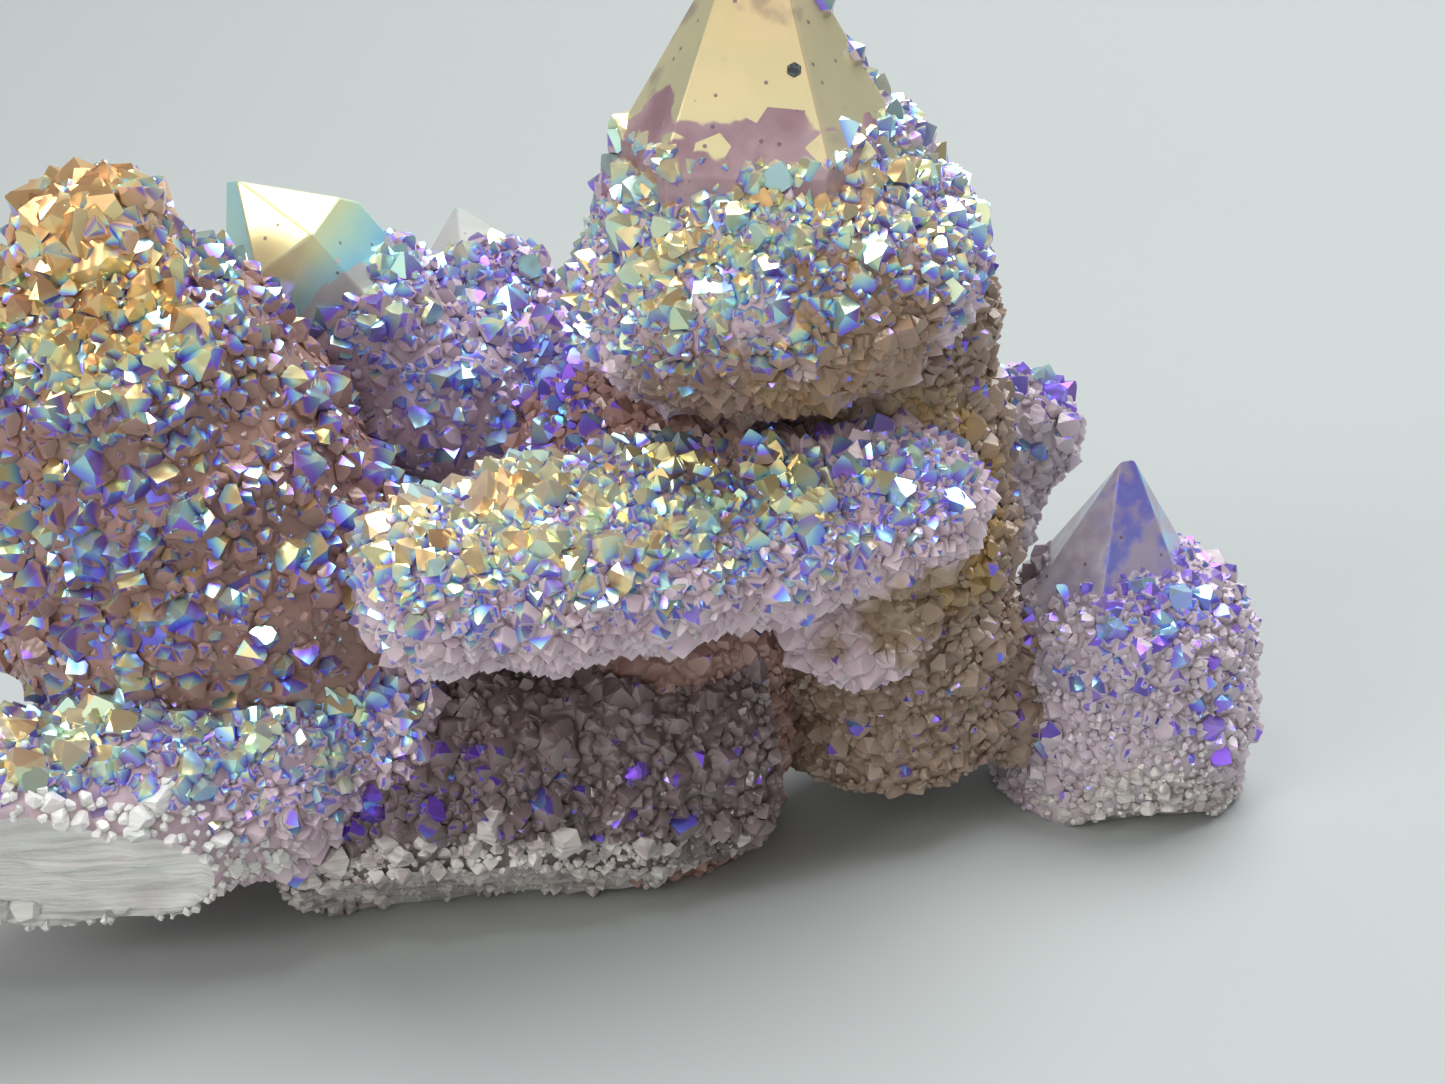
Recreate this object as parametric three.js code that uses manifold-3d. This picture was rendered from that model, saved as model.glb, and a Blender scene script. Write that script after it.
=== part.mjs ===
// A cluster of spirit quartz: hexagonal quartz points grown together, each one wrapped in a jacket
// of small crystals (druse) that leaves at most its tip bare. It is one intergrown solid, broken off
// its rock underneath, so the whole cluster is one mesh. Units are millimetres, +Z is up and the
// front, with the long ledge across it, faces -Y. The origin is the middle of the box round the
// cluster, on the flat broken base it rests on.
import * as THREE from "three";
import { mergeVertices } from "three/addons/utils/BufferGeometryUtils.js";
import Module from "manifold-3d";

const wasm = await Module();
wasm.setup();

// Druse: the small crystals of a jacket.
const druseSpacing = 4.65; // between the tips of neighbouring crystals
const rowPitch = 0.86; // between rows of crystals round a jacket, as a share of the spacing
const fewestRound = 4; // crystals in a row
const druseHeight = 0.85; // of a middling crystal above its jacket's own surface
const druseSpread = 0.55; // of the crystals' heights about the middling one, as a share of it
const valleyDepth = 0.5; // of the corners between crystals, below the jacket's surface
const druseLean = 0.3; // of a crystal towards its host's tip, per height
const druseShift = 0.2; // of a crystal out of its even place, as a share of the spacing
const bandHeight = 0.35; // of the growth bands round a jacket, crest above mean
const bandPitch = 7.5; // from one growth band to the next

// The outline of a jacket, as shares of its length and its girth.
const endInset = 0.05; // of the length, from either end to where the jacket is rounded over
const endBulge = 0.12; // of the girth, from either end to the pole past it
const endRing = 0.65; // of the end's radius, at half of that bulge
const taperAt = 0.67; // of the way from the belly to the shoulder
const taperKept = 0.5; // of the narrowing still to come there

// The bare quartz tips, each a prism of six sides cut to a point by six faces.
const tipSides = 6;
const rhombSlope = 38.2; // between a rhombohedral face of quartz and its axis, in degrees
const tipRoot = 0.25; // where a bare prism starts inside its jacket, as a share of its length

// The points of the cluster. A jacket runs from `root`, inside the cluster, to `shoulder`. It is
// `girth` in radius at `belly`, a share of the way along, and `neck` and `cap` times that at its two
// ends. `flat` is its height as a share of its width. A bare tip stands `reach` beyond the shoulder,
// turned by `spin` degrees about its axis; `cuts` moves each of its faces inwards, and `slope` is
// their angle to the axis in degrees where they are steeper than a rhombohedron's. Each of `breaks`
// is a plane where the point is broken off: a place on it and the way the break faces.
const points = [
  // The tall point at the top.
  {
    root: [2.4, 4.8, 36],
    shoulder: [2.2, 4.2, 48.4],
    girth: 9.8,
    belly: 0.5,
    neck: 0.9,
    cap: 0.8,
    tip: { radius: 9.2, reach: 15.2, slope: 28, spin: 12, cuts: [0, 0.3, 0, 0.9, 0, 0.5] },
  },
  // Its jacket, flaring out over a recess, and the lump that climbs its right-hand side.
  { root: [4.8, 6, 33], shoulder: [2, 4.4, 47.5], girth: 12.9, belly: 0.36, neck: 0.55, cap: 0.72 },
  { root: [5.5, 5.5, 41], shoulder: [9, 5.2, 50.5], girth: 5, belly: 0.5, neck: 0.9, cap: 0.6 },
  // The column it grew from, and the body of the cluster behind the ledge.
  { root: [12, 10, 5], shoulder: [8.8, 7.6, 42], girth: 8.8, belly: 0.4, neck: 0.9, cap: 0.85 },
  { root: [-8, 9, 0], shoulder: [-3, 9.5, 31], girth: 12, belly: 0.4, neck: 0.95, cap: 0.75 },
  // The long ledge across the front, the lump at its right-hand end and the one below that.
  {
    root: [11, 3, 25.8],
    shoulder: [-20, -9.5, 24.6],
    girth: 7.8,
    belly: 0.6,
    neck: 0.9,
    cap: 0.76,
    flat: 0.76,
  },
  {
    root: [8, 8, 24.5],
    shoulder: [10.6, -5, 27.6],
    girth: 6.8,
    belly: 0.5,
    neck: 0.8,
    cap: 0.7,
    flat: 0.8,
  },
  { root: [9, 9, 18.5], shoulder: [8.6, -1, 18.6], girth: 5.6, belly: 0.5, neck: 0.9, cap: 0.7 },
  // The broad point on the left, and the peak it ends in.
  { root: [-29, 4, 7], shoulder: [-38, -2, 42], girth: 13.5, belly: 0.4, neck: 0.85, cap: 0.6 },
  { root: [-35, -1, 36], shoulder: [-36.8, -2.4, 47], girth: 5.2, belly: 0.4, neck: 0.9, cap: 0.6 },
  // The bright bare tip behind it, and the pale one further back.
  {
    root: [-15, 15, 22],
    shoulder: [-26, 11.8, 37.5],
    girth: 7.2,
    belly: 0.45,
    neck: 0.9,
    cap: 0.7,
    tip: { radius: 5.3, reach: 10, spin: 20, cuts: [0, 0.6, 0, 0, 0.8, 0] },
  },
  {
    root: [-13, 14, 22],
    shoulder: [-17.5, 22, 36],
    girth: 6.6,
    belly: 0.5,
    neck: 0.9,
    cap: 0.7,
    tip: { radius: 4.6, reach: 4.8, spin: 0, cuts: [0, 0, 0.3, 0, 0, 0] },
  },
  // The small point on the column's right.
  { root: [16, 14, 19], shoulder: [22, 17, 29.2], girth: 4.8, belly: 0.6, neck: 0.95, cap: 0.7 },
  // The violet point at the right, bare down its left-hand flank.
  {
    root: [27.4, 14, 4],
    shoulder: [27.2, 12, 14],
    girth: 5,
    belly: 0.4,
    neck: 0.9,
    cap: 0.8,
    tip: { radius: 8.6, reach: 13, slope: 27, spin: 20, cuts: [0, 0.4, 0, 0, 0.3, 0] },
  },
  // Its jacket, with two lobes, and the mass that ties it to the column.
  {
    root: [28.6, 14.5, -1],
    shoulder: [29, 9.6, 18.5],
    girth: 9,
    belly: 0.35,
    neck: 0.95,
    cap: 0.6,
    breaks: [{ through: [26, 6.5, 0], facing: [0.1, -0.75, -0.65] }],
  },
  { root: [30, 14, 9], shoulder: [36.2, 12, 12.6], girth: 5, belly: 0.6, neck: 0.9, cap: 0.7 },
  { root: [30, 15, 2], shoulder: [34, 10, 4.2], girth: 5.4, belly: 0.6, neck: 0.9, cap: 0.7 },
  { root: [20, 13, 4], shoulder: [21, 13, 14], girth: 6.4, belly: 0.4, neck: 0.9, cap: 0.6 },
  // The point that lies low at the left, broken open along its front.
  {
    root: [-20, -2, 12.5],
    shoulder: [-47, -17.5, 10.8],
    girth: 7.2,
    belly: 0.66,
    neck: 0.8,
    cap: 0.66,
    breaks: [{ through: [-38, -15.6, 9.4], facing: [0.08, -0.86, -0.5] }],
  },
  // The mass under the ledge, broken along the foot of its front.
  {
    root: [1.5, 4.5, 9],
    shoulder: [-28, -4.5, 6.6],
    girth: 9.2,
    belly: 0.5,
    neck: 0.85,
    cap: 0.7,
    breaks: [{ through: [-14, -7.6, 0], facing: [0.1, -0.7, -0.71] }],
  },
  // The points at the back.
  {
    root: [-3, 12, 14],
    shoulder: [-5, 25, 21.5],
    girth: 7.4,
    belly: 0.5,
    neck: 0.9,
    cap: 0.66,
    tip: { radius: 4.4, reach: 6, spin: 0, cuts: [0, 0, 0.4, 0, 0.2, 0] },
  },
  { root: [12, 12, 8], shoulder: [16.5, 23.5, 11.5], girth: 7, belly: 0.5, neck: 0.9, cap: 0.6 },
  {
    root: [-30, 8, 12],
    shoulder: [-36.5, 19, 19.5],
    girth: 7.6,
    belly: 0.5,
    neck: 0.9,
    cap: 0.66,
    tip: { radius: 4.2, reach: 5, spin: 15, cuts: [0, 0, 0, 0.4, 0, 0] },
  },
  { root: [-17, 9, 5], shoulder: [-19, 22.5, 4.5], girth: 8, belly: 0.5, neck: 0.9, cap: 0.6 },
];

// A repeatable random number from -1 to 1.
function randomNumbers(seed) {
  const range = 2 ** 32;
  let state = seed;
  return () => {
    state = (state * 1664525 + 1013904223) % range;
    return (2 * state) / range - 1;
  };
}

// A geometry of triangles, as a solid that manifold-3d can join and cut.
function solidOf(geometry) {
  geometry.deleteAttribute("normal");
  geometry.deleteAttribute("uv");
  const merged = mergeVertices(geometry, 1e-4);
  return new wasm.Manifold(
    new wasm.Mesh({
      numProp: 3,
      vertProperties: merged.attributes.position.array,
      triVerts: new Uint32Array(merged.index.array),
    }),
  );
}

// A jacket's outline from its root to its shoulder, as radius and height, rounded over at both ends.
function jacketOutline({ girth, belly, neck, cap }, length) {
  const bulge = endBulge * girth;
  const taper = cap + (1 - cap) * taperKept;
  const knots = [
    [0, -bulge],
    [endRing * neck * girth, -bulge / 2],
    [neck * girth, endInset * length],
    [girth, belly * length],
    [taper * girth, (belly + (1 - belly) * taperAt) * length],
    [cap * girth, (1 - endInset) * length],
    [endRing * cap * girth, length + bulge / 2],
    [0, length + bulge],
  ];
  return new THREE.SplineCurve(knots.map((knot) => new THREE.Vector2(...knot)));
}

// The places of a jacket's crystals: rows round it, from the root's pole to the shoulder's. Each place
// holds its angle, its point on the jacket's surface and the way the surface faces there.
function druseRows(spec, length, random) {
  const outline = jacketOutline(spec, length);
  const steps = Math.round(outline.getLength() / (rowPitch * druseSpacing));
  const rows = [];
  for (let step = 0; step <= steps; step++) {
    const at = outline.getPointAt(step / steps);
    const along = outline.getTangentAt(step / steps);
    const atPole = step === 0 || step === steps;
    const count = atPole ? 1 : Math.max(fewestRound, Math.round((2 * Math.PI * at.x) / druseSpacing));
    const first = (1 + random()) / 2;
    const row = [];
    for (let i = 0; i < count; i++) {
      const angle = ((i + first + druseShift * random()) / count) * 2 * Math.PI;
      const shift = atPole ? 0 : druseShift * druseSpacing * random();
      const radius = at.x + shift * along.x;
      const height = at.y + shift * along.y;
      const facing = atPole
        ? new THREE.Vector3(0, 0, Math.sign(step - 0.5))
        : new THREE.Vector3(along.y * Math.cos(angle), along.y * Math.sin(angle), -along.x);
      const point = new THREE.Vector3(radius * Math.cos(angle), radius * Math.sin(angle), height);
      row.push({ angle, point, facing });
    }
    rows.push(row);
  }
  return rows;
}

// The triangles that join two neighbouring rows of places all the way round.
function stitch(lower, upper) {
  const triangles = [];
  const angleOf = (row, i) => row[i % row.length].angle + 2 * Math.PI * Math.floor(i / row.length);
  const lowerSteps = lower.length > 1 ? lower.length : 0;
  const upperSteps = upper.length > 1 ? upper.length : 0;
  let i = 0;
  let j = 0;
  while (i < lowerSteps || j < upperSteps) {
    const lowerGap = Math.abs(angleOf(lower, i + 1) - angleOf(upper, j));
    const upperGap = Math.abs(angleOf(upper, j + 1) - angleOf(lower, i));
    const here = lower[i % lower.length];
    const above = upper[j % upper.length];
    if (j === upperSteps || (i < lowerSteps && lowerGap < upperGap)) {
      triangles.push([here, lower[(i + 1) % lower.length], above]);
      i++;
    } else {
      triangles.push([here, upper[(j + 1) % upper.length], above]);
      j++;
    }
  }
  return triangles;
}

// A jacket of druse. Each place becomes a crystal's tip, the middle of each triangle of places becomes
// a corner between three crystals, and a crystal's faces run from its tip to the corners round it.
function jacket(spec, length) {
  const random = randomNumbers(points.indexOf(spec) + 1);
  const rows = druseRows(spec, length, random);
  for (const place of rows.flat()) {
    const band = bandHeight * Math.sin((2 * Math.PI * place.point.z) / bandPitch);
    const height = druseHeight * (1 + druseSpread * random()) + band;
    place.top = place.point.clone().addScaledVector(place.facing, height);
    place.top.z += druseLean * height;
  }
  const triangles = rows.slice(1).flatMap((row, below) => stitch(rows[below], row));
  const corners = new Map();
  const leftOf = new Map(rows.flat().map((place) => [place, new Map()]));
  for (const triangle of triangles) {
    const corner = new THREE.Vector3();
    for (const place of triangle) {
      corner.addScaledVector(place.point, 1 / 3).addScaledVector(place.facing, -valleyDepth / 3);
    }
    corners.set(triangle, corner);
    triangle.forEach((place, i) => leftOf.get(place).set(triangle[(i + 1) % 3], triangle));
  }
  const faces = [];
  for (const triangle of triangles) {
    triangle.forEach((place, i) => {
      const across = leftOf.get(triangle[(i + 1) % 3]).get(place);
      faces.push(place.top, corners.get(across), corners.get(triangle));
    });
  }
  return solidOf(new THREE.BufferGeometry().setFromPoints(faces));
}

// A bare tip: a hexagonal prism with six faces cut to a point at its end.
function bareTip({ radius, reach, slope = rhombSlope, spin, cuts }, length) {
  const start = tipRoot * length;
  const end = length + reach;
  const prism = new THREE.CylinderGeometry(radius, radius, end - start, tipSides);
  prism.rotateX(Math.PI / 2);
  prism.translate(0, 0, (start + end) / 2);
  let solid = solidOf(prism);
  const toAxis = THREE.MathUtils.degToRad(slope);
  cuts.forEach((cut, side) => {
    const angle = ((side + 0.5) / tipSides) * 2 * Math.PI;
    const inwards = new THREE.Vector3(Math.sin(angle), Math.cos(angle), 0);
    inwards.multiplyScalar(-Math.cos(toAxis)).setZ(-Math.sin(toAxis));
    solid = solid.trimByPlane(inwards.toArray(), cut - end * Math.sin(toAxis));
  });
  return solid.rotate([0, 0, spin]);
}

// A point of the cluster in its place, broken where it is broken off.
function quartzPoint(spec) {
  const root = new THREE.Vector3(...spec.root);
  const along = new THREE.Vector3(...spec.shoulder).sub(root);
  const length = along.length();
  let solid = jacket(spec, length);
  if (spec.tip) solid = solid.add(bareTip(spec.tip, length));
  along.normalize();
  const level = new THREE.Vector3(0, 0, 1).cross(along).normalize();
  const side = new THREE.Vector3().crossVectors(level, along);
  side.multiplyScalar(spec.flat ?? 1);
  const placing = new THREE.Matrix4().makeBasis(side, level, along).setPosition(root);
  solid = solid.transform(placing.elements);
  for (const { through, facing } of spec.breaks ?? []) {
    const inwards = new THREE.Vector3(...facing).normalize().negate();
    solid = solid.trimByPlane(inwards.toArray(), inwards.dot(new THREE.Vector3(...through)));
  }
  return solid;
}

// The points grown into one, cut off flat underneath. Only the outermost surface is kept, so that no
// pocket stays closed in between them.
const joined = wasm.Manifold.union(points.map(quartzPoint)).trimByPlane([0, 0, 1], 0);
const cluster = joined.decompose().reduce((outer, body) => (body.volume() > outer.volume() ? body : outer));
const { min, max } = cluster.boundingBox();
const centred = cluster.translate([-(min[0] + max[0]) / 2, -(min[1] + max[1]) / 2, 0]);

const made = centred.getMesh();
const geometry = new THREE.BufferGeometry();
geometry.setAttribute("position", new THREE.BufferAttribute(made.vertProperties, 3));
geometry.setIndex(new THREE.BufferAttribute(made.triVerts, 1));
geometry.computeVertexNormals();
const quartz = new THREE.MeshStandardMaterial({ color: 0xb5a3b8, roughness: 0.3, metalness: 0.1 });
const mesh = new THREE.Mesh(geometry, quartz);
mesh.name = "spirit_quartz_cluster";

const group = new THREE.Group();
group.add(mesh);
export default group;
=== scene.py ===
import math

import bmesh
import bpy
import numpy as np
from mathutils import Matrix, Vector, noise
from mathutils.bvhtree import BVHTree


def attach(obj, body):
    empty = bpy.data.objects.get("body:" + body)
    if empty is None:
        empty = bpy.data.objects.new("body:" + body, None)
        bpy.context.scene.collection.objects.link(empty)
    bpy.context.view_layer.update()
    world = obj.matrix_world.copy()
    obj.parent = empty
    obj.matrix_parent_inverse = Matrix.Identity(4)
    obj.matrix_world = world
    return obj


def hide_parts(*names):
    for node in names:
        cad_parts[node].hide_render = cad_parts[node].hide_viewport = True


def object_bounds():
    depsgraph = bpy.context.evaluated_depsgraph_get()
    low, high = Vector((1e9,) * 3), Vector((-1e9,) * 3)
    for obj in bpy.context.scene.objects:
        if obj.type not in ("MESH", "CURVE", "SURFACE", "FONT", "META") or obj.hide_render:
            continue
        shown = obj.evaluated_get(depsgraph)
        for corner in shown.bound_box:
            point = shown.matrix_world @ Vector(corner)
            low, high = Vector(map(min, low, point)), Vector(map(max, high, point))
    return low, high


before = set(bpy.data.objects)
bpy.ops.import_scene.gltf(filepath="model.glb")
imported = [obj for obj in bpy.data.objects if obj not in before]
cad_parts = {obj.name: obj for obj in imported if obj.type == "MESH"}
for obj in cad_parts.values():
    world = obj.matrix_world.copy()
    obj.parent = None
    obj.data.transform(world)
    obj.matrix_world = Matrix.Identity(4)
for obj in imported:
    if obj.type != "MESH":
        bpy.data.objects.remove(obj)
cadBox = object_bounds()
mm = 0.001
clusterNode = "spirit_quartz_cluster"
scene = bpy.context.scene
drawingShift = Vector((5.806, -5.246, 0.0))  # mm, from the drawing of the points to the frame's origin

# Where the camera stands, in mm and degrees.
camera = {"target": (5.8, -5.2, 24.0), "elevation": 22.0, "distance": 125.4, "lens": 50.0, "sensor": 36.0}
tilt = math.radians(camera["elevation"])
cameraData = bpy.data.cameras.new("camera")
cameraData.lens = camera["lens"]
cameraData.sensor_width = camera["sensor"]
cameraData.clip_start = 0.005
cameraData.clip_end = 20.0
cameraObject = bpy.data.objects.new("camera", cameraData)
away = Vector((0, -math.cos(tilt), math.sin(tilt)))
cameraObject.location = (Vector(camera["target"]) + away * camera["distance"]) * mm
cameraObject.rotation_euler = (math.pi / 2 - tilt, 0, 0)
scene.collection.objects.link(cameraObject)
scene.camera = cameraObject

# The quieter coat of the bright and the pale point.
smoothDruse = {"film": 0.42, "coat": 0.25, "gap": 1.02, "size": 0.98, "sunk": 0.5, "low": 0.45, "veil": 0.34}

# The points of the cluster. A jacket runs from root to shoulder, girth in radius at belly, a share of
# the way along; neck and cap are its ends as shares of the girth, and flat is its height over its
# width. All in mm and degrees. skin names the quartz that its crystals grow from.
points = {
    "tallCollar": {
        "root": (2.4, 4.8, 36), "shoulder": (2.2, 4.2, 48.4), "girth": 9.8,
        "belly": 0.5, "neck": 0.9, "cap": 0.8, "skin": "lilac",
        "tip": {"radius": 9.2, "reach": 15.2, "slope": 28, "spin": 12, "cuts": (0, 0.3, 0, 0.9, 0, 0.5),
                "climb": (1.6, 0.7, 1, 2, 8, 13)},
        "druse": {"film": 0.56, "coat": 0.56, "gap": 1, "size": 0.92}},
    "tallJacket": {
        "root": (4.8, 6, 33), "shoulder": (2, 4.4, 47.5), "girth": 12.9,
        "belly": 0.36, "neck": 0.55, "cap": 0.72, "skin": "lilac",
        "druse": {"film": 0.64, "coat": 0.53, "gap": 0.84, "size": 0.82, "rim": 1.5}},
    "tallLump": {
        "root": (5.5, 5.5, 41), "shoulder": (9, 5.2, 50.5), "girth": 5,
        "belly": 0.5, "neck": 0.9, "cap": 0.6, "skin": "lilac",
        "druse": {"film": 0.54, "coat": 0.5, "gap": 0.88, "size": 0.84, "rim": 1.3}},
    "column": {
        "root": (12, 10, 5), "shoulder": (8.8, 7.6, 42), "girth": 8.8,
        "belly": 0.4, "neck": 0.9, "cap": 0.85, "skin": "ironBrown",
        "druse": {"film": 0.12, "coat": 0.05, "gap": 0.84, "size": 0.84, "low": 0.15, "veil": 0.1}},
    "middle": {
        "root": (-8, 9, 0), "shoulder": (-3, 9.5, 31), "girth": 12,
        "belly": 0.4, "neck": 0.95, "cap": 0.75, "skin": "brown",
        "druse": {"film": 0.2, "coat": 0.15, "gap": 0.9, "size": 0.9,
                  "sunk": 0.1, "low": 0.3, "veil": 0.2}},
    "ledge": {
        "root": (11, 3, 25.8), "shoulder": (-20, -9.5, 24.6), "girth": 7.8,
        "belly": 0.6, "neck": 0.9, "cap": 0.76, "flat": 0.76, "skin": "lilac",
        "druse": {"film": 0.57, "coat": 0.34, "gap": 0.86, "size": 0.84, "rim": 1.6, "veil": 0.1}},
    "ledgeEnd": {
        "root": (8, 8, 24.5), "shoulder": (10.6, -5, 27.6), "girth": 6.8,
        "belly": 0.5, "neck": 0.8, "cap": 0.7, "flat": 0.8, "skin": "lilac",
        "druse": {"film": 0.42, "coat": 0.32, "gap": 0.86, "size": 0.84, "rim": 1.5}},
    "ledgeUnder": {
        "root": (9, 9, 18.5), "shoulder": (8.6, -1, 18.6), "girth": 5.6,
        "belly": 0.5, "neck": 0.9, "cap": 0.7, "skin": "lilac",
        "druse": {"film": 0.1, "coat": -0.2, "gap": 0.9, "size": 0.88, "rim": 1.4}},
    "broad": {
        "root": (-29, 4, 7), "shoulder": (-38, -2, 42), "girth": 13.5,
        "belly": 0.4, "neck": 0.85, "cap": 0.6, "skin": "brown",
        "druse": {"film": 0.58, "coat": 0.38, "gap": 1, "size": 1,
                  "sunk": 0.5, "low": 0.5, "veil": 0.26}},
    "broadPeak": {
        "root": (-35, -1, 36), "shoulder": (-36.8, -2.4, 47), "girth": 5.2,
        "belly": 0.4, "neck": 0.9, "cap": 0.6, "skin": "amber",
        "druse": {"film": 0.78, "coat": 0.38, "gap": 1.2, "size": 1.75, "press": 0.15}},
    "brightPoint": {
        "root": (-15, 15, 22), "shoulder": (-26, 11.8, 37.5), "girth": 7.2,
        "belly": 0.45, "neck": 0.9, "cap": 0.7, "skin": "dusk",
        "tip": {"radius": 5.3, "reach": 10, "slope": 38.2, "spin": 20, "cuts": (0, 0.6, 0, 0, 0.8, 0)},
        "druse": smoothDruse},
    "palePoint": {
        "root": (-13, 14, 22), "shoulder": (-17.5, 22, 36), "girth": 6.6,
        "belly": 0.5, "neck": 0.9, "cap": 0.7, "skin": "dusk",
        "tip": {"radius": 4.6, "reach": 4.8, "slope": 38.2, "spin": 0, "cuts": (0, 0, 0.3, 0, 0, 0)},
        "druse": smoothDruse},
    "smallPoint": {
        "root": (16, 14, 19), "shoulder": (22, 17, 29.2), "girth": 4.8,
        "belly": 0.6, "neck": 0.95, "cap": 0.7, "skin": "mist",
        "druse": {"film": 0.17, "coat": 0.05, "gap": 0.92, "size": 0.88, "low": 0.2, "veil": 0.15}},
    "violetPoint": {
        "root": (27.4, 14, 4), "shoulder": (27.2, 12, 14), "girth": 5,
        "belly": 0.4, "neck": 0.9, "cap": 0.8, "skin": "mist",
        "tip": {"radius": 8.6, "reach": 13, "slope": 27, "spin": 20, "cuts": (0, 0.4, 0, 0, 0.3, 0),
                "climb": (3.4, 3, 3.4, 4, 4, 4), "wall": 11},
        "druse": {"film": 0.14, "coat": -0.12, "gap": 0.78, "size": 0.76, "low": 0.1, "veil": 0.1}},
    "violetJacket": {
        "root": (28.6, 14.5, -1), "shoulder": (29, 9.6, 18.5), "girth": 9,
        "belly": 0.35, "neck": 0.95, "cap": 0.6, "skin": "mist",
        "breaks": [{"through": (26, 6.5, 0), "facing": (0.1, -0.75, -0.65),
                    "crust": 0.7, "fringe": 2.4}],
        "druse": {"film": 0.14, "coat": 0.08, "gap": 0.76, "size": 0.76, "low": 0.1, "veil": 0.15}},
    "violetLobe": {
        "root": (30, 14, 9), "shoulder": (36.2, 12, 12.6), "girth": 5,
        "belly": 0.6, "neck": 0.9, "cap": 0.7, "skin": "mist",
        "druse": {"film": 0.1, "coat": 0, "gap": 0.8, "size": 0.82, "low": 0.1}},
    "violetFoot": {
        "root": (30, 15, 2), "shoulder": (34, 10, 4.2), "girth": 5.4,
        "belly": 0.6, "neck": 0.9, "cap": 0.7, "skin": "mist",
        "druse": {"film": 0.08, "coat": -0.1, "gap": 0.8, "size": 0.78, "low": 0.1}},
    "violetTie": {
        "root": (20, 13, 4), "shoulder": (21, 13, 14), "girth": 6.4,
        "belly": 0.4, "neck": 0.9, "cap": 0.6, "skin": "ironBrown",
        "druse": {"film": 0.08, "coat": -0.1, "gap": 0.95, "size": 0.9, "low": 0.4}},
    "lowLeft": {
        "root": (-20, -2, 12.5), "shoulder": (-47, -17.5, 10.8), "girth": 7.2,
        "belly": 0.66, "neck": 0.8, "cap": 0.66, "skin": "lilac",
        "breaks": [{"through": (-38, -15.6, 9.4), "facing": (0.08, -0.86, -0.5),
                    "fringe": 2.0, "rugged": 1.7}],
        "druse": {"film": 0.49, "coat": 0.36, "gap": 0.84, "size": 0.86, "rim": 1.45, "veil": 0.15}},
    "underFront": {
        "root": (1.5, 4.5, 9), "shoulder": (-28, -4.5, 6.6), "girth": 9.2,
        "belly": 0.5, "neck": 0.85, "cap": 0.7, "skin": "grey",
        "breaks": [{"through": (-14, -7.6, 0), "facing": (0.1, -0.7, -0.71),
                    "deeper": 3.2, "crust": 0.62, "fringe": 0.8}],
        "druse": {"film": 0.08, "coat": -0.02, "gap": 0.8, "size": 0.84, "low": 0.1}},
    "rearPoint": {
        "root": (-3, 12, 14), "shoulder": (-5, 25, 21.5), "girth": 7.4,
        "belly": 0.5, "neck": 0.9, "cap": 0.66, "skin": "lilac",
        "tip": {"radius": 4.4, "reach": 6, "slope": 38.2, "spin": 0, "cuts": (0, 0, 0.4, 0, 0.2, 0)},
        "druse": {"film": 0.4, "coat": 0.25, "gap": 1, "size": 1, "low": 0.2}},
    "rearRight": {
        "root": (12, 12, 8), "shoulder": (16.5, 23.5, 11.5), "girth": 7,
        "belly": 0.5, "neck": 0.9, "cap": 0.6, "skin": "grey",
        "druse": {"film": 0.2, "coat": 0, "gap": 1, "size": 0.9, "low": 0.2}},
    "rearLeft": {
        "root": (-30, 8, 12), "shoulder": (-36.5, 19, 19.5), "girth": 7.6,
        "belly": 0.5, "neck": 0.9, "cap": 0.66, "skin": "lilac",
        "tip": {"radius": 4.2, "reach": 5, "slope": 38.2, "spin": 15, "cuts": (0, 0, 0, 0.4, 0, 0)},
        "druse": {"film": 0.42, "coat": 0.3, "gap": 1, "size": 1, "low": 0.2}},
    "rearLow": {
        "root": (-17, 9, 5), "shoulder": (-19, 22.5, 4.5), "girth": 8,
        "belly": 0.5, "neck": 0.9, "cap": 0.6, "skin": "grey",
        "druse": {"film": 0.1, "coat": 0, "gap": 1, "size": 0.9, "low": 0.2}},
}
jacketEnds = {"inset": 0.05, "bulge": 0.12, "ring": 0.65, "taperAt": 0.67, "taperKept": 0.5, "steps": 16}
bands = {"height": 0.35, "pitch": 7.5}  # growth bands round a jacket
tipRoot = 0.25  # where a bare prism starts inside its jacket


def outlineOf(spec, length):  # radius and height, from the root's pole to the shoulder's
    girth, neck, cap, belly = spec["girth"], spec["neck"], spec["cap"], spec["belly"]
    bulge = jacketEnds["bulge"] * girth
    taper = cap + (1 - cap) * jacketEnds["taperKept"]
    knots = np.array([
        (0, -bulge),
        (jacketEnds["ring"] * neck * girth, -bulge / 2),
        (neck * girth, jacketEnds["inset"] * length),
        (girth, belly * length),
        (taper * girth, (belly + (1 - belly) * jacketEnds["taperAt"]) * length),
        (cap * girth, (1 - jacketEnds["inset"]) * length),
        (jacketEnds["ring"] * cap * girth, length + bulge / 2),
        (0, length + bulge)])
    ends = np.vstack([knots[:1], knots, knots[-1:]])
    line = []
    for i in range(len(knots) - 1):
        a, b, c, d = ends[i:i + 4]
        for t in np.linspace(0, 1, jacketEnds["steps"], endpoint=False):
            line.append(b + 0.5 * t * (c - a) + t * t * (a - 2.5 * b + 2 * c - 0.5 * d)
                        + t ** 3 * (1.5 * (b - c) + 0.5 * (d - a)))
    line.append(knots[-1])
    return np.array(line)


def spacedAlong(line, gap):  # the line again, in even steps of about gap
    runs = np.concatenate([[0], np.cumsum(np.linalg.norm(np.diff(line, axis=0), axis=1))])
    at = np.linspace(0, runs[-1], max(4, round(runs[-1] / gap)) + 1)
    even = np.stack([np.interp(at, runs, line[:, 0]), np.interp(at, runs, line[:, 1])], axis=1)
    way = np.gradient(even, axis=0)
    way /= np.linalg.norm(way, axis=1)[:, None]
    return even, np.stack([way[:, 1], -way[:, 0]], axis=1)


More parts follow.
